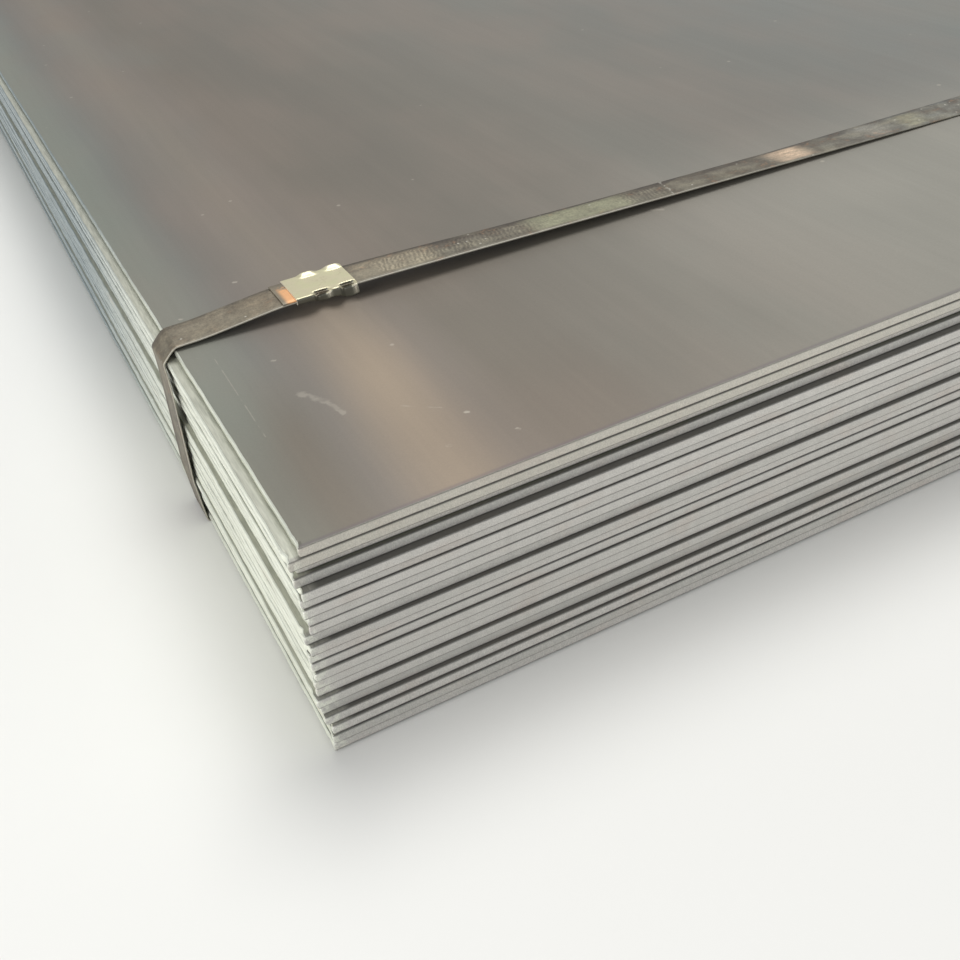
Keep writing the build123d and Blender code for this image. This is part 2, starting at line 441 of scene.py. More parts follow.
def skin(name, rings, smooth, finish):
    """A mesh over rings of points, each ring closed on itself, with a face across both ends.

    rings has the shape (rings, points, 3). Each quad joins two neighbours of one ring with
    the same two of the next. smooth and finish give each quad's shading and material, in
    the shape (rings - 1, points), and the ends take the finish of the quads beside them.
    """
    rows, columns = rings.shape[:2]
    index = np.arange(rows * columns).reshape(rows, columns)
    beside = np.roll(index, -1, axis=1)
    quads = np.stack([index[:-1], beside[:-1], beside[1:], index[1:]], axis=-1)
    a, b, c, d = (rings.reshape(-1, 3)[quads[..., corner]] for corner in range(4))
    volume = (np.cross(b - a, c - a) * a).sum() + (np.cross(c - a, d - a) * a).sum()
    first, last = index[0][::-1], index[-1]
    if volume < 0.0:
        quads, first, last = quads[..., ::-1], first[::-1], last[::-1]
    faces = quads.reshape(-1, 4).tolist() + [first.tolist(), last.tolist()]
    mesh = bpy.data.meshes.new(name)
    mesh.from_pydata(rings.reshape(-1, 3).tolist(), [], faces)
    ends = np.array([finish[0, 0], finish[-1, 0]])
    flags = np.concatenate([smooth.ravel(), [False, False]])
    mesh.polygons.foreach_set("material_index", np.concatenate([finish.ravel(), ends]).astype(np.int32))
    mesh.polygons.foreach_set("use_smooth", flags)
    mesh.update()
    piece = bpy.data.objects.new(name, mesh)
    bpy.context.scene.collection.objects.link(piece)
    return piece


def settle(piece, node, materials):
    """Puts a piece in its CAD node's place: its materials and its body."""
    for material in materials:
        piece.data.materials.append(material)
    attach(piece, "root")
    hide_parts(node)


def plate_rings(low, high, seed):
    """The rings of points round one plate, one section after another along its length.

    Each long edge is a superellipse: at the share q of the half thickness its surface lies
    EDGE_DEPTH * (1 - (1 - |q|**p)**(1/p)) inside its extreme, with p the fullness, and the
    extreme itself sways by an uneven line. Within SHEAR_REACH of a sheared end the edge
    spreads a little, and over the last END_ROUND every side draws in along a quarter circle.
    Within LIP_REACH of an end the edge is torn: it draws in by uneven steps and bends down.
    """
    low, high = np.array(low), np.array(high)
    length = high[1] - low[1]
    turn = np.linspace(0.0, pi / 2, END_STEPS + 1)
    start = END_ROUND * (1.0 - np.sin(turn[::-1]))
    drawn = END_ROUND * (1.0 - np.cos(turn[::-1]))
    lip = np.linspace(END_ROUND, LIP_STRETCH, LIP_STATIONS)[1:]
    fine = np.linspace(LIP_STRETCH, FINE_STRETCH, FINE_STATIONS)[1:]
    coarse = np.linspace(FINE_STRETCH, length - LIP_STRETCH, COARSE_STATIONS)[1:-1]
    middle = np.concatenate([lip, fine, coarse, length - lip[::-1]])
    along = np.concatenate([start, middle, length - start[::-1]])
    inset = np.concatenate([drawn, np.zeros(middle.size), drawn[::-1]])[:, None]

    arc = np.sin(np.linspace(-pi / 2, pi / 2, EDGE_POINTS))
    depth = EDGE_DEPTH * (1.0 - (1.0 - np.abs(arc) ** EDGE_FULLNESS) ** (1.0 / EDGE_FULLNESS))
    to_end = np.minimum(along, length - along)
    spread = SHEAR_SPREAD * np.exp(-((to_end / SHEAR_REACH) ** 2))
    near_end = np.exp(-((to_end / LIP_REACH) ** 4))
    sides, bends = [], []
    for side in (0, 1):
        sway = EDGE_SWAY * (0.5 + 0.5 * wavy(along, seed + side))
        ragged = EDGE_RAG * (1.0 + wavy(along, seed + 5 + side, *RAG_WAVES))
        torn = near_end * (0.3 + wavy(along, seed + 13 + side, *TEAR_WAVES))
        edge = np.maximum(sway + ragged - spread + LIP_SWAY * torn, 0.0)[:, None] + inset
        sides.append(edge + depth * (0.75 + 0.25 * wavy(along, seed + 9 + side))[:, None])
        bends.append((LIP_BEND * near_end * wavy(along, seed + 17 + side, *BEND_WAVES))[:, None])
    across = FACE_COLUMNS * (high[0] - low[0] - 4 * EDGE_DEPTH) + low[0] + 2 * EDGE_DEPTH
    face = np.broadcast_to(across, (along.size, across.size))
    x = np.concatenate([low[0] + sides[0], face, high[0] - sides[1][:, ::-1], face[:, ::-1]], axis=1)

    middle, half = (low[2] + high[2]) / 2, (high[2] - low[2]) / 2 - inset
    rim = middle + half * arc
    flat = np.broadcast_to(half, face.shape)
    low_rim, high_rim = rim + bends[0], rim[:, ::-1] + bends[1]
    z = np.concatenate([low_rim, middle + flat, high_rim, middle - flat], axis=1)
    z = np.clip(z, low[2], high[2])
    y = np.broadcast_to((low[1] + along)[:, None], x.shape)
    return np.stack([x, y, z], axis=-1)


def build_plate(node, seed, materials):
    """One plate in the place of its CAD node, with mill scale, rolled edges and sheared ends."""
    rings = plate_rings(*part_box(node), seed)
    rows, columns = rings.shape[0] - 1, rings.shape[1]
    edge = np.zeros(columns, dtype=bool)
    edge[:EDGE_POINTS - 1] = True
    right = EDGE_POINTS + FACE_COLUMNS.size
    edge[right:right + EDGE_POINTS - 1] = True
    finish = np.where(edge, ROLLED_EDGE, MILL_SCALE) + np.zeros((rows, 1), dtype=int)
    finish[:END_STEPS] = finish[-END_STEPS:] = SHEARED_END
    smooth = edge + np.zeros((rows, 1), dtype=bool)
    smooth[:END_STEPS] = smooth[-END_STEPS:] = True
    settle(skin(f"{node}_steel", rings, smooth, finish), node, materials)


def tight_loop(points):
    """The convex loop round (x, z) points, anticlockwise."""
    loop = []
    ordered = sorted(set(points))
    for way in (ordered, ordered[::-1]):
        side = []
        for x, z in way:
            while len(side) > 1:
                (ax, az), (bx, bz) = side[-2:]
                if (bx - ax) * (z - az) - (bz - az) * (x - ax) > 0:
                    break
                side.pop()
            side.append((x, z))
        loop += side[:-1]
    return loop


def eased(share):
    """A ramp from 0 to 1 over the share from 0 to 1, with both its ends rounded by RISE_EASE.

    It is the difference of two softened ramps, log(1 + e**t), one starting at 0 and one at 1.
    """
    start, end = share / RISE_EASE, (share - 1.0) / RISE_EASE
    return RISE_EASE * (np.logaddexp(0.0, start) - np.logaddexp(0.0, end))


def strap_line():
    """The middle line of a strap as points (x, z), from its lower end round to its upper end.

    It follows the tight loop round the plates' edges at the distance of their rounds, with an
    arc at each corner of the loop and a soft bulge at the upper left one. Both its ends rise
    to the seal along straight lines whose two ends are eased.
    """
    centres = []
    for node in PLATES:
        (left, _, floor), (right, _, top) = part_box(node)
        for x in (left + CORNER_RADIUS, right - CORNER_RADIUS):
            centres += [(x, floor + CORNER_RADIUS), (x, top - CORNER_RADIUS)]
    loop = tight_loop(centres)
    top = max(z for _, z in loop)
    corner = min(point for point in loop if point[1] == top)
    first = loop.index(corner)
    edge = corner[0] - CORNER_RADIUS
    seal_left = edge + SEAL_FROM_EDGE - SEAL_LENGTH / 2
    seal_right = seal_left + SEAL_LENGTH
    tail_end = seal_left - STRAP_TAIL
    stops = [(seal_right - STRAP_TAIL, top)] + loop[first:] + loop[:first] + [(tail_end, top)]
    stops = np.array(stops)

    legs = np.diff(stops, axis=0)
    lengths = np.linalg.norm(legs, axis=1)
    facing = np.stack([legs[:, 1], -legs[:, 0]], axis=1) / lengths[:, None]
    angles = np.unwrap(np.arctan2(facing[:, 1], facing[:, 0]))
    skeleton, normals = [], []
    for number, leg in enumerate(legs):
        share = np.linspace(0.0, pi, int(lengths[number] / STRAP_STEP) + 2)[:, None]
        share = (1.0 - np.cos(share)) / 2.0
        skeleton.append(stops[number] + share * leg)
        normals.append(np.broadcast_to(facing[number], skeleton[-1].shape))
        if number + 1 < len(legs):
            steps = int(abs(angles[number + 1] - angles[number]) / radians(ARC_STEP)) + 1
            turn = np.linspace(angles[number], angles[number + 1], steps + 1)[1:-1]
            skeleton.append(np.broadcast_to(stops[number + 1], (turn.size, 2)))
            normals.append(np.stack([np.cos(turn), np.sin(turn)], axis=1))
    spans = [len(part) for part in skeleton]
    skeleton, normals = np.concatenate(skeleton), np.concatenate(normals)

    reach = np.linalg.norm(skeleton - corner, axis=1)
    stand = CORNER_RADIUS + STRAP_CLEARANCE + STRAP_THICK / 2
    stand = stand + CORNER_BULGE * np.exp(-((reach / BULGE_REACH) ** 2))
    line = skeleton + normals * stand[:, None]

    fall = eased((line[:, 0] - edge) / (tail_end - edge))
    rise = eased((edge + STRAP_LANDING - line[:, 0]) / (edge + STRAP_LANDING - seal_right))
    lower = np.arange(len(line)) < spans[0]
    upper = np.arange(len(line)) >= len(line) - spans[-1]
    line[:, 1] += np.where(lower, SEAL_LIFT * fall, 0.0)
    line[:, 1] += np.where(upper, (SEAL_LIFT + STRAP_THICK) * rise, 0.0)
    keep = np.concatenate([[True], np.linalg.norm(np.diff(line, axis=0), axis=1) > STRAP_STEP / 100])
    return line[keep], seal_left, seal_right


def build_strap(place, seed, materials):
    """One strap: its section carried along the strap's line, slanted across the stack.

    The section is a flat band with eased edges. Where it faces up it is crowned by a parabola
    of CROWN and more where it is dented. Its edges wander by an uneven line, and at the crimps
    of the seal they draw in by CRIMP_DEPTH. Where the top run stands clear of the plate it is
    rolled over: its far edge lies lower by up to ROLL_DROP, by e**-(d / ROLL_REACH)**4 at the
    distance d from ROLL_PLACE, and never below the plate.
    """
    line, seal_left, seal_right = strap_line()
    skew = radians(STRAP_SKEWS[place])
    low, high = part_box(f"seal_{place}")
    station = (low[1] + high[1]) / 2 - (seal_left + seal_right) / 2 * tan(skew)
    gaps = np.linalg.norm(np.diff(line, axis=0), axis=1)
    along = np.concatenate([[0.0], np.cumsum(gaps)])
    upper = along > along[-1] / 2
    way = np.gradient(line, along, axis=0)
    outward = np.stack([way[:, 1], -way[:, 0]], axis=1)
    outward /= np.linalg.norm(outward, axis=1)[:, None]

    side, layer = BAND_SECTION.T
    across = side * (STRAP_WIDTH / 2 - EDGE_WANDER * (1 + wavy(along, seed, *WANDER_WAVES))[:, None])
    near_seal = (line[:, 0] > seal_left) & (line[:, 0] < seal_right) & (line[:, 1] > STACK_TOP)
    pinch = crimps(line[:, 0] - (seal_left + seal_right) / 2, CRIMP_HALF, power=8) * near_seal
    across = across * (1 - pinch[:, None] * CRIMP_DEPTH / (STRAP_WIDTH / 2))
    dent = CROWN + DENT * np.maximum(wavy(along, seed + 3, *DENT_WAVES), 0)
    dent = dent * np.maximum(outward[:, 1], 0.0) ** 8
    clear = np.where(upper, line[:, 1] - STACK_TOP - STRAP_CLEARANCE - STRAP_THICK / 2, 0.0)
    roll = ROLL_DROP * np.exp(-(((line[:, 0] - ROLL_PLACE) / ROLL_REACH) ** 4))
    roll = np.minimum(np.maximum(clear, 0.0), roll)[:, None]
    height = layer * STRAP_THICK / 2 + dent[:, None] * (1 - side ** 2) - roll * (1 + side) / 2

    x = line[:, :1] + outward[:, :1] * height
    z = line[:, 1:] + outward[:, 1:] * height
    y = station + x * tan(skew) + across / cos(skew)
    rings = np.stack([x, y, z], axis=-1)
    finish = np.zeros((len(rings) - 1, len(side)), dtype=int)
    piece = skin(f"strap_{place}_band", rings, np.ones(finish.shape, dtype=bool), finish)

    lengthwise = np.where(upper, seal_left - STRAP_TAIL + along[-1] - along, line[0, 0] - along)
    lengthwise = np.broadcast_to(lengthwise[:, None], across.shape)
    lay_out(piece, np.stack([lengthwise, across], axis=-1).reshape(-1, 2))
    mark_points(piece, "upper", np.broadcast_to(upper[:, None], across.shape))
    mark_points(piece, "number", np.full(across.shape, float(list(STRAP_SKEWS).index(place))))
    settle(piece, f"strap_{place}", materials)


def crimps(offset, half, power):
    """1 over each of a seal's two crimps and 0 beside them, by the distance from its middle.

    At the distance d from a crimp's centre it is e**-(d / half)**power.
    """
    nearest = np.abs(np.abs(offset - CRIMP_OFFSET) - CRIMP_SPACING / 2)
    return np.exp(-((nearest / half) ** power))


def lay_out(piece, places):
    """A UV map in metres for a piece, from one flat place for each of its vertices."""
    mesh = piece.data
    corners = np.empty(len(mesh.loops), dtype=np.int32)
    mesh.loops.foreach_get("vertex_index", corners)
    layer = mesh.uv_layers.new(name="flat")
    layer.data.foreach_set("uv", places[corners].astype(np.float32).ravel())


def mark_points(piece, name, values):
    """A named value for each vertex of a piece, for its material to read."""
    attribute = piece.data.attributes.new(name, "FLOAT", "POINT")
    attribute.data.foreach_set("value", np.asarray(values, dtype=np.float32).ravel())


def sleeve_section(half_width, half_height):
    """The sheet of a seal seen from its end, as places (across, up) and outward normals.

    Four quarter circles and the straight walls between them make a rounded rectangle, which
    starts and ends at the slit under its middle.
    """
    places, normals = [], []
    inner_width, inner_height = half_width - SLEEVE_ROUND, half_height - SLEEVE_ROUND
    corners = [(-inner_width, -inner_height), (-inner_width, inner_height),
               (inner_width, inner_height), (inner_width, -inner_height)]
    for number, centre in enumerate(corners):
        turn = np.linspace(-pi / 2 - number * pi / 2, -pi - number * pi / 2, CORNER_POINTS)
        facing = np.stack([np.cos(turn), np.sin(turn)], axis=1)
        places.append(np.array(centre) + SLEEVE_ROUND * facing)
        normals.append(facing)
        if number == 1:
            share = np.linspace(-1.0, 1.0, TOP_POINTS)[1:-1, None]
            places.append(np.array([[inner_width, 0.0]]) * share + np.array([[0.0, half_height]]))
            normals.append(np.broadcast_to([0.0, 1.0], places[-1].shape))
    slit = np.array([[-SLIT / 2, -half_height]])
    under = np.linspace(0.0, 1.0, UNDER_POINTS)[:-1, None]
    left = slit + under * (np.array([[-inner_width, -half_height]]) - slit)
    right = (left * np.array([[-1.0, 1.0]]))[::-1]
    down = np.broadcast_to([0.0, -1.0], left.shape)
    return np.concatenate([left, *places, right]), np.concatenate([down, *normals, down])


def build_seal(place, materials):
    """One seal: the folded sheet carried along the strap, then pressed at its crimps.

    Over a crimp the outer part of the sleeve bends by the sine of a quarter turn: on the rear
    side it swells up into a tongue over TONGUE_REACH; on the front side it is scooped down
    and inward over SCOOP_REACH. The front side of the lower wall is flared down and out, more
    and more towards the right end.
    """
    low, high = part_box(f"seal_{place}")
    skew = radians(STRAP_SKEWS[place])
    half_width = (STRAP_WIDTH / 2 + SEAL_SIDE_GAP) + SEAL_SHEET / 2
    half_height = STRAP_THICK + SEAL_SHEET / 2
    line, facing = sleeve_section(half_width, half_height)
    sheet = np.concatenate([line + facing * SEAL_SHEET / 2, (line - facing * SEAL_SHEET / 2)[::-1]])
    along = np.linspace(low[0], high[0], SEAL_STATIONS)
    offset = along - (low[0] + high[0]) / 2
    across = np.broadcast_to(sheet[:, 0], (along.size, len(sheet)))
    up = np.broadcast_to(sheet[:, 1], across.shape)

    tongue = np.clip((across - half_width + TONGUE_REACH) / TONGUE_REACH, 0.0, 1.0)
    tongue = np.sin(tongue * pi / 2) * crimps(offset, TONGUE_HALF, power=4)[:, None]
    scoop = np.clip((-across - half_width + SCOOP_REACH) / SCOOP_REACH, 0.0, 1.0)
    scoop = np.sin(scoop * pi / 2) * crimps(offset, SCOOP_HALF, power=4)[:, None]
    lift = TONGUE_LIFT * tongue - SCOOP_DROP * scoop
    drawn = TONGUE_DRAW * tongue - SCOOP_DRAW * scoop
    flare = np.exp(-(((offset[-1] - offset) / FLARE_LENGTH) ** 2))[:, None]
    flare = flare * np.where((up < 0) & (across < 0), np.clip(-across / half_width, 0, 1) ** 2, 0)
    ripple = RIPPLE * wavy(along, RIPPLE_SEED, *RIPPLE_WAVES)[:, None]

    y_middle = (low[1] + high[1]) / 2
    x = np.broadcast_to(along[:, None], across.shape)
    y = y_middle + offset[:, None] * tan(skew) + (across - drawn - FLARE_OUT * flare) / cos(skew)
    z = LAP_LEVEL + up + lift - FLARE_DROP * flare + ripple * (np.abs(across) / half_width) ** 2
    rings = np.stack([x, y, z], axis=-1)
    finish = np.zeros((len(rings) - 1, len(sheet)), dtype=int)
    piece = skin(f"seal_{place}_sleeve", rings, np.ones(finish.shape, dtype=bool), finish)
    piece.data.set_sharp_from_angle(angle=radians(SHARP_ANGLE))
    # How far each point lies in a tongue, where the material paints a highlight
    mark_points(piece, "tongue_highlight", tongue)
    settle(piece, f"seal_{place}", materials)


def add(tree, kind, inputs=None, **settings):
    """A node of a shader tree, by its kind's name without its prefix.

    An input that is another node's output is linked, and any other is set.
    """
    made = tree.nodes.new(f"ShaderNode{kind}")
    for setting, value in settings.items():
        setattr(made, setting, value)
    for socket, value in (inputs or {}).items():
        if isinstance(value, bpy.types.NodeSocket):
            tree.links.new(value, made.inputs[socket])
        else:
            made.inputs[socket].default_value = value
    return made


def maths(tree, operation, *values):
    """The result of one Math node."""
    return add(tree, "Math", dict(enumerate(values)), operation=operation).outputs[0]


def vectors(tree, operation, *values, result=0):
    """One result of a Vector Math node, by its name or number."""
    made = add(tree, "VectorMath", dict(enumerate(values)), operation=operation)
    return made.outputs[result]


def step(tree, value, low, high):
    """0 up to low, 1 from high on, and a smooth step between them."""
    limits = {"Value": value, "From Min": low, "From Max": high}
    return add(tree, "MapRange", limits, interpolation_type="SMOOTHSTEP").outputs["Result"]


def mix(tree, share, under, over, kind="MIX"):
    """One colour laid over another by a share from 0 to 1."""
    made = add(tree, "Mix", {0: share, 6: under, 7: over}, data_type="RGBA", blend_type=kind)
    return made.outputs[2]


def times(tree, first, *others):
    """The product of several values."""
    for other in others:
        first = maths(tree, "MULTIPLY", first, other)
    return first


def shifted(tree, value, factor, start):
    """A value times a factor, with a start added."""
    return maths(tree, "MULTIPLY_ADD", value, factor, start)


def varied(tree, value, contrast):
    """A factor that a value from 0 to 1 moves from half the contrast under 1 to half over it."""
    return shifted(tree, value, contrast, 1.0 - contrast / 2)


def unsigned(tree, value):
    """A value without its sign."""
    return maths(tree, "ABSOLUTE", value)


def between(tree, value, start, end, outside, inside):
    """1 from start to end and 0 past them, over borders that reach so far outside and inside."""
    return times(tree, step(tree, value, start - outside, start + inside),
                 step(tree, value, end + outside, end - inside))


def axes(tree, vector):
    """The three parts of a vector."""
    return add(tree, "SeparateXYZ", {0: vector}).outputs


def normal_axes(tree):
    """The three parts of the surface's normal."""
    return axes(tree, add(tree, "NewGeometry").outputs["Normal"])


def marked(tree, name):
    """A value that mark_points gave to a piece."""
    return add(tree, "Attribute", attribute_name=name).outputs["Fac"]


def lay(tree, colour, mask, tint):
    """A tint laid over a colour where a mask says, by the tint's greatest share."""
    over, share = tint
    return mix(tree, times(tree, mask, share), colour, srgb(*over))


def shaded(tree, colour, light):
    """A colour times a factor."""
    grey = add(tree, "CombineColor", {0: light, 1: light, 2: light}).outputs[0]
    return mix(tree, 1.0, colour, grey, "MULTIPLY")


def grain(tree, place, scale, detail, stretch=(1.0, 1.0, 1.0)):
    """Noise from 0 to 1 whose cells are 1 / scale metres, or longer where stretch is under 1."""
    place = add(tree, "Mapping", {"Vector": place, "Scale": stretch}).outputs[0]
    inputs = {"Vector": place, "Scale": scale, "Detail": detail}
    return add(tree, "TexNoise", inputs, normalize=True).outputs["Fac"]


def blotches(tree, place, cells, levels):
    """Soft patches, where a grain with such cells lies over its levels."""
    return step(tree, grain(tree, place, *cells), *levels)


def bands(tree, value, stops):
    """A colour ramp over a value, from (place, colour) stops in the value's own units."""
    low, high = stops[0][0], stops[-1][0]
    share = add(tree, "MapRange", {"Value": value, "From Min": low, "From Max": high})
    ramp = add(tree, "ValToRGB", {"Fac": share.outputs["Result"]})
    elements = ramp.color_ramp.elements
    while len(elements) < len(stops):
        elements.new(1.0)
    for element, (place, colour) in zip(elements, stops):
        element.position = (place - low) / (high - low)
        element.color = srgb(*colour)
    return ramp.outputs["Color"]


def effect(name, inputs, outputs):
    """An empty node group with named sockets, and its input and output nodes' sockets."""
    tree = bpy.data.node_groups.new(name, "ShaderNodeTree")
    for way, sockets in (("INPUT", inputs), ("OUTPUT", outputs)):
        for socket in sockets:
            kind = SOCKET_KINDS.get(socket, "Float")
            tree.interface.new_socket(socket, in_out=way, socket_type=f"NodeSocket{kind}")
    return tree, tree.nodes.new("NodeGroupInput").outputs, tree.nodes.new("NodeGroupOutput").inputs


def apply(tree, group, **inputs):
    """The outputs of a node group placed in a material, with its inputs named by their sockets."""
    return add(tree, "Group", inputs, node_tree=group).outputs


def pale_specks():
    """Small bright chips: the cores of random cells, of which a Share show."""
    tree, given, result = effect("pale specks", ["Place", "Scale", "Share"], ["Mask"])
    cells = add(tree, "TexVoronoi", {"Vector": given["Place"], "Scale": given["Scale"]})
    core = step(tree, cells.outputs["Distance"], *CHIP_CORE)
    lot = add(tree, "SeparateColor", {"Color": cells.outputs["Color"]}).outputs[0]
    drawn = maths(tree, "LESS_THAN", lot, given["Share"])
    tree.links.new(times(tree, core, drawn), result["Mask"])
    return tree


def rolling_streaks():
    """Fine and broad lines along Y, the way of rolling, 1 / Draw times as long as wide."""
    tree, given, result = effect("rolling streaks", ["Place", "Scale", "Draw"], ["Fine", "Broad"])
    drawn = add(tree, "CombineXYZ", {0: 1.0, 1: given["Draw"], 2: 1.0}).outputs[0]
    fine = grain(tree, given["Place"], given["Scale"], FINE_DETAIL, drawn)
    wider = times(tree, given["Scale"], BROAD_STREAKS)
    broad = grain(tree, given["Place"], wider, BROAD_DETAIL, drawn)
    tree.links.new(fine, result["Fine"])
    tree.links.new(broad, result["Broad"])
    return tree


def scratch_line():
    """A thin line from Start to End, 1 on it and fading beside it, in broken pieces.

    It is Width wide where its grain is at its middle, and more or less where it isn't.
    """
    tree, given, result = effect("scratch line", ["Place", "Start", "End", "Width"], ["Mask"])
    run = vectors(tree, "SUBTRACT", given["End"], given["Start"])
    here = vectors(tree, "SUBTRACT", given["Place"], given["Start"])
    dot = vectors(tree, "DOT_PRODUCT", here, run, result="Value")
    square = vectors(tree, "DOT_PRODUCT", run, run, result="Value")
    share = add(tree, "Clamp", {"Value": maths(tree, "DIVIDE", dot, square)}).outputs[0]
    scaled = add(tree, "VectorMath", {0: run, "Scale": share}, operation="SCALE").outputs[0]
    away = vectors(tree, "LENGTH", vectors(tree, "SUBTRACT", here, scaled), result="Value")
    wide = times(tree, given["Width"], grain(tree, given["Place"], *SCRATCH_GRAIN), 2.0)
    faded = step(tree, maths(tree, "DIVIDE", away, wide), *SCRATCH_FADE)
    line = maths(tree, "SUBTRACT", 1.0, faded)
    broken = blotches(tree, given["Place"], *SCRATCH_BREAKS)
    tree.links.new(times(tree, line, broken), result["Mask"])
    return tree


def mill_scale_finish(specks, streaks, scratch):
    """The scale that hot rolling leaves: tints in bands along the plate, tinted patches towards the
    front, one of them a painted sheen, grain and small marks.
    """
    tree, given, result = effect("mill scale", ["Place"], ["Colour", "Roughness", "Height"])
    place = given["Place"]
    x, y, _ = axes(tree, place)
    sway = grain(tree, place, *TINT_SWAYS)
    wander = shifted(tree, sway, TINT_SWAY, maths(tree, "SUBTRACT", x, TINT_SWAY / 2))
    colour = bands(tree, wander, HEAT_TINTS)

    blotch = blotches(tree, place, *SCALE_BLOTCHES)
    colour = lay(tree, colour, blotch, SCALE_WARM)
    colour = lay(tree, colour, blotches(tree, place, *SCALE_CLOUDS), SCALE_COOL)
    for (low_x, high_x), (near, far), tint in TINT_PATCHES:
        off = unsigned(tree, maths(tree, "SUBTRACT", wander, (low_x + high_x) / 2))
        across = step(tree, off, (high_x - low_x) / 2, 0.0)
        colour = lay(tree, colour, times(tree, across, step(tree, y, far, near)), tint)

    lines = apply(tree, streaks, Place=place, **SCALE_STREAKS)
    light = times(tree, varied(tree, lines["Fine"], STREAK_CONTRAST),
                  varied(tree, lines["Broad"], BROAD_CONTRAST),
                  varied(tree, grain(tree, place, *SCALE_GRAIN), SCALE_CONTRAST))
    colour = shaded(tree, colour, light)

    scuff = 0.0
    for start, end, width, pale in SCRATCHES:
        ends = [(x * MM, y * MM, STACK_TOP) for x, y in (start, end)]
        mark = apply(tree, scratch, Place=place, Start=ends[0], End=ends[1], Width=width * MM)
        scuff = maths(tree, "MAXIMUM", scuff, times(tree, mark["Mask"], pale))
    chips = apply(tree, specks, Place=place, **SCALE_CHIPS)["Mask"]
    marks = maths(tree, "MAXIMUM", scuff, times(tree, chips, CHIP_PALENESS))
    colour = lay(tree, colour, marks, SCALE_SCUFF)

    rough = shifted(tree, blotch, *SCALE_ROUGHNESS)
    rough = shifted(tree, grain(tree, place, *SCALE_GLOSS), SCALE_GLOSS_REACH, rough)
    height = maths(tree, "ADD", grain(tree, place, *SCALE_PITS), marks)
    tree.links.new(colour, result["Colour"])
    tree.links.new(rough, result["Roughness"])
    tree.links.new(height, result["Height"])
    return tree


def dirt_and_rust(specks):
    """Masks of dirt in soft patches, of rust at their hearts and of chips."""
    tree, given, result = effect("dirt and rust", ["Place", "Scale"], ["Dirt", "Rust", "Chips"])
    coarse = grain(tree, given["Place"], given["Scale"], DIRT_DETAIL)
    finer = grain(tree, given["Place"], times(tree, given["Scale"], RUST_FINENESS), DIRT_DETAIL)
    tree.links.new(step(tree, coarse, *DIRT_LEVELS), result["Dirt"])
    heart = times(tree, step(tree, coarse, *RUST_LEVELS), step(tree, finer, *RUST_BREAKS))
    tree.links.new(heart, result["Rust"])
    tree.links.new(apply(tree, specks, Place=given["Place"], **STRAP_CHIPS)["Mask"], result["Chips"])
    return tree


def steel(name, **constants):
    """A material with a metal's Principled BSDF, and the tree, shader and place to work on."""
    material = bpy.data.materials.new(name)
    material.use_nodes = True
    tree = material.node_tree
    shader = next(node for node in tree.nodes if node.type == "BSDF_PRINCIPLED")
    for socket, value in constants.items():
        shader.inputs[socket.replace("_", " ")].default_value = value
    return material, tree, shader, add(tree, "TexCoord").outputs["Object"]


def finish_steel(tree, shader, colour, rough, height, depth):
    """Links a colour, a roughness and a relief of `depth` metres to a shader."""
    tree.links.new(colour, shader.inputs["Base Color"])
    tree.links.new(rough, shader.inputs["Roughness"])
    bump = add(tree, "Bump", {"Height": height, "Distance": depth, "Strength": 1.0})
    tree.links.new(bump.outputs["Normal"], shader.inputs["Normal"])


def mill_scale_material(scale):
    """The flat faces of the plates: scale, with pale ledges, a purple tint at the front, and painted
    shade that makes the plates below the top one darker and greener.
    """
    material, tree, shader, place = steel("mill_scale", Metallic=SCALE_METALLIC)
    made = apply(tree, scale, Place=place)
    x, y, z = axes(tree, place)
    buried = maths(tree, "LESS_THAN", z, STACK_TOP - BURIED_DEPTH)
    ledge = times(tree, step(tree, unsigned(tree, x), *LEDGE_ACROSS), buried,
                  shifted(tree, grain(tree, place, *LEDGE_GRAIN), *LEDGE_SHARES))
    # Painted shade: the plates below the top one are darker and greener
    colour = lay(tree, made["Colour"], buried, SCALE_BURIED_SHADE)
    colour = lay(tree, colour, ledge, EDGE_LEDGE)
    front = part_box(PLATES[0])[0][1]
    lip = step(tree, y, front + LIP_TINT[0], front + LIP_TINT[1])
    colour = lay(tree, colour, lip, LIP_PURPLE)
    finish_steel(tree, shader, colour, made["Roughness"], made["Height"], SCALE_RELIEF)
    return material


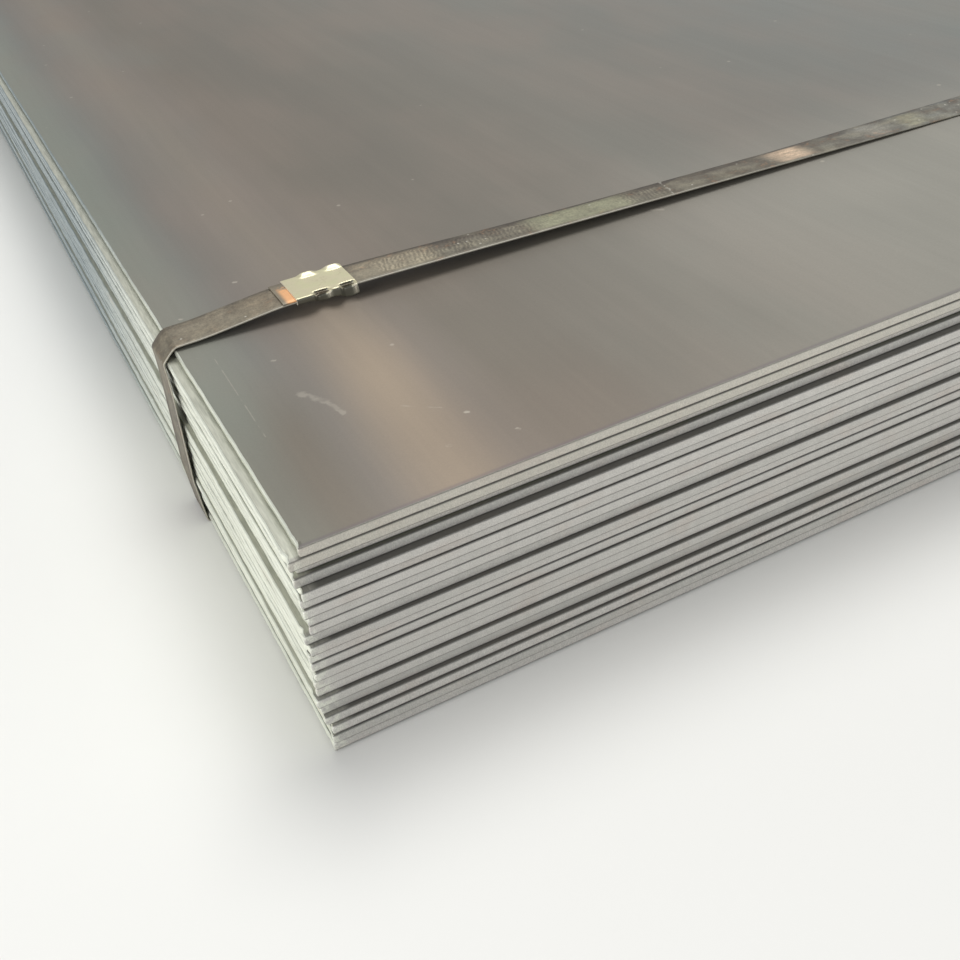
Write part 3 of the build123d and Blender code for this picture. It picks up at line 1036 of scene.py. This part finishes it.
def rolled_edge_material(scale, streaks, specks):
    """The rolled long edges: bright metal drawn into streaks, running into the scale above, and bluish
    and darker towards the back, the darkening painted shade.
    """
    material, tree, shader, place = steel("rolled_edge", Metallic=EDGE_METALLIC)
    lines = apply(tree, streaks, Place=place, **EDGE_STREAKS)
    fine, broad = lines["Fine"], lines["Broad"]
    # Bluish and darker towards the back, with the bright streaks taken out there: the darkening is
    # painted shade
    back_shade = step(tree, axes(tree, place)[1], *BLUISH_SHADE_ALONG)
    colour = mix(tree, back_shade, srgb(*EDGE_CREAM), srgb(*EDGE_BLUISH_SHADE))
    colour = mix(tree, step(tree, broad, *DULL_LEVELS), colour, (*EDGE_DULL, 1.0), "MULTIPLY")
    scored = times(tree, step(tree, fine, *SCORE_LEVELS), SCORE_SHARE)
    colour = mix(tree, scored, colour, (*EDGE_SCORE, 1.0), "MULTIPLY")
    bright = times(tree, step(tree, fine, *BRIGHT_LEVELS), maths(tree, "SUBTRACT", 1.0, back_shade))
    colour = lay(tree, colour, bright, EDGE_BRIGHT)
    colour = lay(tree, colour, blotches(tree, place, *EDGE_STAINS), EDGE_STAIN)
    colour = lay(tree, colour, apply(tree, specks, Place=place, **EDGE_CHIPS)["Mask"], EDGE_CHIP)

    over = step(tree, unsigned(tree, normal_axes(tree)[2]), *SCALE_FACING)
    colour = mix(tree, over, colour, apply(tree, scale, Place=place)["Colour"])
    height = shifted(tree, fine, FINE_HEIGHT, times(tree, broad, BROAD_HEIGHT))
    finish_steel(tree, shader, colour, shifted(tree, fine, *EDGE_ROUGHNESS), height, EDGE_RELIEF)
    return material


def sheared_end_material(specks):
    """The sheared ends: matt grey grain and dark joints, with stains, cream on the top ones, and
    painted shade that darkens them towards both sides.
    """
    material, tree, shader, place = steel("sheared_end", Metallic=END_METALLIC)
    x, _, z = axes(tree, place)
    level = maths(tree, "DIVIDE", maths(tree, "SUBTRACT", z, STACK_FLOOR), PLATE_THICK)
    within, number = maths(tree, "FRACT", level), maths(tree, "FLOOR", level)
    shade = add(tree, "TexWhiteNoise", {"W": number}, noise_dimensions="1D").outputs["Value"]
    colour = mix(tree, shade, srgb(*END_GREY_DARK), srgb(*END_GREY_LIGHT))
    colour = lay(tree, colour, step(tree, level, *CREAM_LEVELS), END_CREAM)
    corner = step(tree, unsigned(tree, x), *CORNER_ACROSS)
    corner = times(tree, corner, blotches(tree, place, *CORNER_STAINS))
    colour = lay(tree, colour, corner, CORNER_CREAM)
    colour = lay(tree, colour, blotches(tree, place, *PINK_STAINS), END_PINK)
    colour = lay(tree, colour, apply(tree, specks, Place=place, **END_CHIPS)["Mask"], END_SPOT)
    torn = grain(tree, place, *TORN_GRAIN)
    # Painted shade: the ends are darker towards both sides
    outer_shade = step(tree, unsigned(tree, x), *END_SHADE_ACROSS)
    light = times(tree, shifted(tree, torn, *TORN_LIGHT),
                  varied(tree, grain(tree, place, *SHEAR_RUNS), RUN_CONTRAST),
                  shifted(tree, between(tree, within, *JOINT_FACE), *JOINT_LIGHT),
                  shifted(tree, outer_shade, *END_SHADE_LIGHT))
    colour = shaded(tree, colour, light)
    finish_steel(tree, shader, colour, shifted(tree, torn, *END_ROUGHNESS), torn, END_RELIEF)
    return material


def strap_material(dirt):
    """The strapping: dull brown-grey steel with ribs, dirt, rust, wear and a painted highlight on its
    near rim.

    The strap's number is the third coordinate of its grains, so that each strap wears in its
    own way. The patches lie on the front strap, whose number is 0.
    """
    material, tree, shader, _ = steel("strap_band", Metallic=STRAP_METALLIC)
    along, across, _ = axes(tree, add(tree, "UVMap", uv_map="flat").outputs["UV"])
    number = marked(tree, "number")
    flat = add(tree, "CombineXYZ", {0: along, 1: across, 2: number}).outputs[0]
    colour = bands(tree, across, STRAP_MARGINS)

    colour = lay(tree, colour, step(tree, along, *GREY_ALONG), STRAP_GREY)
    mottle = grain(tree, flat, *STRAP_MOTTLE)
    colour = lay(tree, colour, step(tree, mottle, *DUST_LEVELS), STRAP_DUST)
    soil = apply(tree, dirt, Place=flat, Scale=STRAP_DIRT_CELLS)
    colour = lay(tree, colour, soil["Dirt"], STRAP_DIRT)
    colour = lay(tree, colour, soil["Rust"], STRAP_RUST)
    spotted = times(tree, step(tree, along, *SOIL_RIGHT), step(tree, along, *SOIL_LEFT),
                    shifted(tree, blotches(tree, flat, *SOIL_SPOTS), *SOIL_SHARES))
    colour = lay(tree, colour, spotted, STRAP_SOIL)

    fray = grain(tree, flat, *STRAP_FRAY)
    smear = grain(tree, flat, *STRAP_SMEAR)
    inner = step(tree, unsigned(tree, across), *PATCH_MARGIN)
    inner = times(tree, inner, maths(tree, "LESS_THAN", number, 0.5))
    inner = times(tree, inner, shifted(tree, smear, *PATCH_SHARES))
    for (start, end), tint in STRAP_PATCHES:
        inside = times(tree, between(tree, along, start, end, *PATCH_BORDER), inner)
        colour = lay(tree, colour, inside, tint)

    slanted = shifted(tree, across, RIB_SLANT, along)
    slanted = shifted(tree, grain(tree, flat, *RIB_WOBBLES), RIB_WOBBLE, slanted)
    ribbed = 0.0
    for start, end in RIBBED_STRETCHES:
        ribbed = maths(tree, "MAXIMUM", ribbed, between(tree, along, start, end, *RIB_BORDER))
    comb = maths(tree, "SINE", times(tree, slanted, 2 * pi / RIB_PITCH))
    comb = times(tree, comb, step(tree, smear, *RIB_BREAKS), ribbed,
                 step(tree, unsigned(tree, across), *RIB_MARGIN))
    light = shifted(tree, comb, RIB_CONTRAST, varied(tree, fray, FRAY_CONTRAST))
    light = times(tree, light, varied(tree, grain(tree, flat, *STRAP_GRAIN), STRAP_CONTRAST))
    colour = shaded(tree, colour, light)

    cross = unsigned(tree, maths(tree, "SUBTRACT", slanted, CROSS_SCRATCH))
    cross = times(tree, step(tree, cross, *CROSS_WIDTH), step(tree, fray, *CROSS_BREAKS))
    wear_and_highlight = maths(tree, "MAXIMUM", times(tree, cross, CROSS_PALENESS), soil["Chips"])
    # A painted highlight along the near rim of the strap, laid with the wear
    rim = times(tree, step(tree, across, *RIM_MARGIN), step(tree, along, *RIM_ALONG))
    wear_and_highlight = maths(tree, "MAXIMUM", times(tree, wear_and_highlight, WORN_PALENESS), times(tree, rim, RIM_HIGHLIGHT))
    colour = lay(tree, colour, wear_and_highlight, STRAP_WEAR_AND_HIGHLIGHT)
    tail = times(tree, marked(tree, "upper"), step(tree, along, *TAIL_RIGHT))
    colour = lay(tree, colour, tail, TAIL_SOIL)
    clean = step(tree, shifted(tree, fray, TAIL_FRAY, across), *TAIL_FAR)
    clean = times(tree, tail, clean, step(tree, along, *TAIL_LEFT))
    colour = lay(tree, colour, clean, TAIL_ORANGE)

    height = shifted(tree, comb, RIB_HEIGHT, times(tree, fray, FRAY_HEIGHT))
    finish_steel(tree, shader, colour, shifted(tree, mottle, *STRAP_ROUGHNESS), height, STRAP_RELIEF)
    return material


def seal_material(dirt):
    """The seals: zinc plate dulled to a pale greenish cream with a little dirt, painted shade on the
    sides that face the front and on the lower wall, and a painted highlight on the rims at the ends and
    on the tongues.
    """
    material, tree, shader, place = steel("seal_plating", Metallic=SEAL_METALLIC)
    mottle = grain(tree, place, *SEAL_MOTTLE)
    colour = mix(tree, step(tree, mottle, *GREEN_LEVELS), srgb(*SEAL_CREAM), srgb(*SEAL_GREEN))
    soil = apply(tree, dirt, Place=place, Scale=SEAL_DIRT_CELLS)
    colour = lay(tree, colour, soil["Rust"], SEAL_DIRT)
    side, front, _ = normal_axes(tree)
    # The tongues get a painted highlight, and the painted shade is lifted off them
    tongue_highlight = step(tree, marked(tree, "tongue_highlight"), *TONGUE_HIGHLIGHT_LEVELS)
    shade = times(tree, step(tree, front, *SHADE_FACING), maths(tree, "SUBTRACT", FRONT_SHADE, tongue_highlight))
    below = step(tree, axes(tree, place)[2], *SHADE_BELOW)
    shade = maths(tree, "MAXIMUM", shade, times(tree, below, UNDER_SHADE))
    colour = lay(tree, colour, shade, SEAL_SHADE)
    # Painted highlight on the faces that face along the seal, at its ends, and on the tongues
    rim = step(tree, unsigned(tree, side), *RIM_FACING)
    bright = maths(tree, "MAXIMUM", rim, times(tree, tongue_highlight, TONGUE_HIGHLIGHT_SHARE))
    colour = lay(tree, colour, bright, SEAL_HIGHLIGHT)
    fine = grain(tree, place, *SEAL_GRAIN)
    colour = shaded(tree, colour, varied(tree, fine, SEAL_CONTRAST))
    height = shifted(tree, fine, SEAL_GRAIN_HEIGHT, mottle)
    finish_steel(tree, shader, colour, shifted(tree, mottle, *SEAL_ROUGHNESS), height, SEAL_RELIEF)
    return material


def build_stage():
    """A plain pale floor under the bundle."""
    rim = FLOOR_HALF * np.array([(-1, -1, 0), (1, -1, 0), (1, 1, 0), (-1, 1, 0)])
    mesh = bpy.data.meshes.new("floor")
    mesh.from_pydata(rim.tolist(), [], [(0, 1, 2, 3)])
    floor = bpy.data.objects.new("floor", mesh)
    bpy.context.scene.collection.objects.link(floor)
    material = bpy.data.materials.new("pale_floor")
    material.use_nodes = True
    shader = next(node for node in material.node_tree.nodes if node.type == "BSDF_PRINCIPLED")
    shader.inputs["Base Color"].default_value = srgb(*FLOOR_PALE)
    shader.inputs["Roughness"].default_value = FLOOR_ROUGHNESS
    floor.data.materials.append(material)


def light_bundle():
    """Soft light from all round, and large lamps high behind, in front and to the left."""
    world = bpy.data.worlds.new("soft_room")
    bpy.context.scene.world = world
    world.use_nodes = True
    background = next(node for node in world.node_tree.nodes if node.type == "BACKGROUND")
    background.inputs["Color"].default_value = srgb(*ROOM_TINT)
    background.inputs["Strength"].default_value = ROOM_STRENGTH
    for name, place, aim, size, power in LAMPS:
        lamp = bpy.data.lights.new(name, "AREA")
        lamp.shape = "RECTANGLE"
        lamp.size, lamp.size_y = size
        lamp.energy = power
        holder = bpy.data.objects.new(name, lamp)
        holder.location = place
        toward = np.array(aim) - np.array(place)
        heading = np.arctan2(-toward[0], toward[1])
        tilt = np.arctan2(np.hypot(toward[0], toward[1]), -toward[2])
        holder.rotation_euler = (tilt, 0.0, heading)
        bpy.context.scene.collection.objects.link(holder)


def place_camera():
    """The camera where the photograph was taken from, turned and tilted as it was."""
    camera = bpy.data.objects.new("camera", bpy.data.cameras.new("camera"))
    camera.data.lens = CAMERA_LENS
    camera.data.sensor_width = 36.0
    camera.data.clip_start = 0.01
    facing = Matrix.Rotation(radians(-CAMERA_HEADING), 4, "Z")
    tilt = Matrix.Rotation(radians(90.0 + CAMERA_PITCH), 4, "X")
    roll = Matrix.Rotation(radians(-CAMERA_ROLL), 4, "Z")
    camera.matrix_world = Matrix.Translation(CAMERA_PLACE) @ facing @ tilt @ roll
    bpy.context.scene.collection.objects.link(camera)
    bpy.context.scene.camera = camera


specks = pale_specks()
streaks = rolling_streaks()
scratch = scratch_line()
scale = mill_scale_finish(specks, streaks, scratch)
dirt = dirt_and_rust(specks)

plate_finishes = [
    mill_scale_material(scale),
    rolled_edge_material(scale, streaks, specks),
    sheared_end_material(specks),
]
band_finish = strap_material(dirt)
seal_finish = seal_material(dirt)

for seed, node in zip(PLATE_SEEDS, PLATES):
    build_plate(node, seed, plate_finishes)
for seed, place in zip(STRAP_SEEDS, STRAP_SKEWS):
    build_strap(place, seed, [band_finish])
    build_seal(place, [seal_finish])

build_stage()
light_bundle()
place_camera()
bpy.context.scene.view_settings.view_transform = "Standard"
